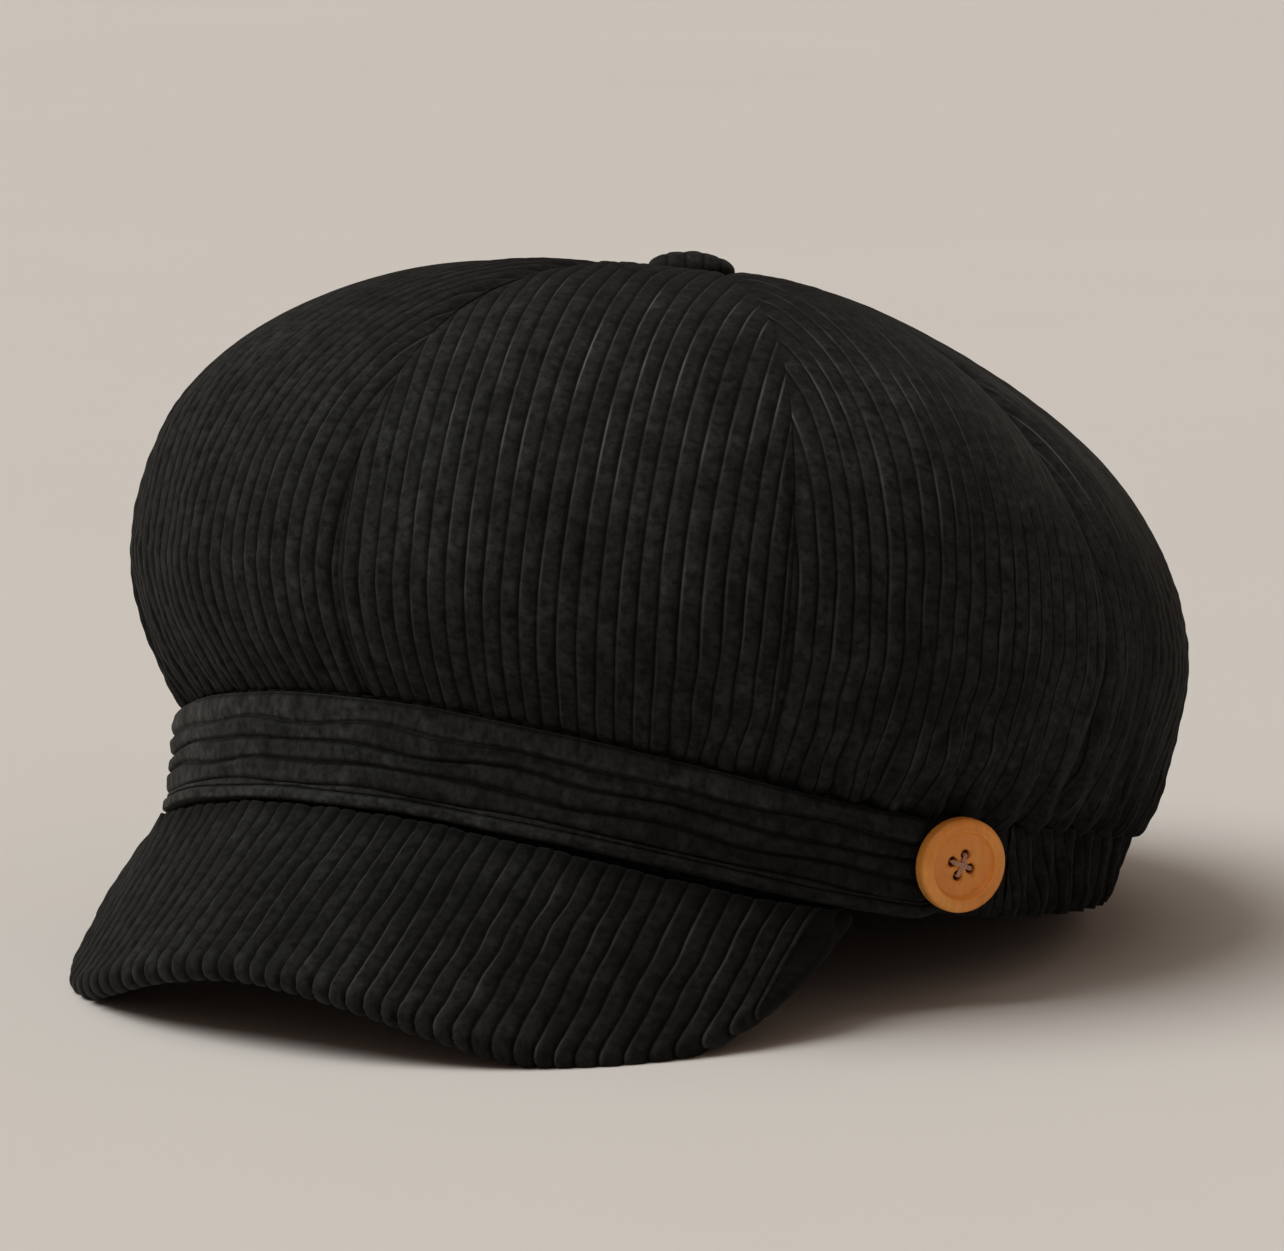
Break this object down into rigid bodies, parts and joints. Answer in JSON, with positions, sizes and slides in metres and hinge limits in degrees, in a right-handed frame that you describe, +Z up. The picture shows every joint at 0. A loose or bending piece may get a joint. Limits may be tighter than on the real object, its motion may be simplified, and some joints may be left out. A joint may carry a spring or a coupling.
{
  "type": "newsboy cap",
  "caption": "Full eight-panel corduroy cap with a covered top button, a front strap held by two four-hole buttons, a short curved visor that flexes and an elasticated back.",
  "frame": {"origin": "bottom centre of the whole cap's box, on the level it stands on", "axes": "+Z up, the visor towards -Y, the wearer's left towards +X; the cap stands on its visor's corners and the back of its band, so the band's plane is tipped up at the front by 7.7 degrees"},
  "size_m": [0.1958, 0.242, 0.134],
  "materials": {
    "corduroy": "black wide-wale cotton corduroy, soft nap",
    "lining": "black woven lining, slight sheen",
    "sweatband": "black ribbed grosgrain",
    "elastic": "woven elastic tape",
    "interlining": "stiff woven interlining",
    "board": "matt visor board",
    "button": "orange-brown, satin",
    "thread": "tan sewing thread",
    "metal": "pressed sheet"
  },
  "bodies": {
    "cap": {"crown_gore_1": "corduroy", "lining_gore_1": "lining", "crown_gore_2": "corduroy", "lining_gore_2": "lining", "crown_gore_3": "corduroy", "lining_gore_3": "lining", "crown_gore_4": "corduroy", "lining_gore_4": "lining", "crown_gore_5": "corduroy", "lining_gore_5": "lining", "crown_gore_6": "corduroy", "lining_gore_6": "lining", "crown_gore_7": "corduroy", "lining_gore_7": "lining", "crown_gore_8": "corduroy", "lining_gore_8": "lining", "top_button_cover": "corduroy", "top_button_shell": "metal", "top_button_back": "metal", "top_button_shank": "thread", "front_band_cover": "corduroy", "front_band_interlining": "interlining", "front_sweatband": "sweatband", "rear_elastic": "elastic", "side_gather_left": "corduroy", "side_facing_left": "sweatband", "side_gather_right": "corduroy", "side_facing_right": "sweatband", "strap_backing": "interlining", "strap_face": "corduroy", "left_button": "button", "left_button_thread": "thread", "right_button": "button", "right_button_thread": "thread", "visor_seam_strip": "corduroy"},
    "visor": {"visor_under_cover": "corduroy", "visor_board": "board", "visor_top_cover": "corduroy"},
    "rear_band": {"rear_band_cover": "corduroy", "rear_band_facing": "sweatband"}
  },
  "joints": [
    {"name": "visor_flex", "type": "hinge", "parent": "cap", "child": "visor", "pos_m": [0, -0.07192, 0.03435], "axis": [-1, 0, 0], "range_deg": [-3, 8], "stiffness_Nm_per_rad": 1.5, "deforming": ["visor_seam_strip"]},
    {"name": "rear_stretch", "type": "slide", "parent": "cap", "child": "rear_band", "axis": [0, 1, 0], "range_m": [0, 0.008], "stiffness_N_per_m": 120, "springref_m": -0.003, "deforming": ["side_gather_left", "side_gather_right", "side_facing_left", "side_facing_right", "rear_elastic"]}
  ]
}
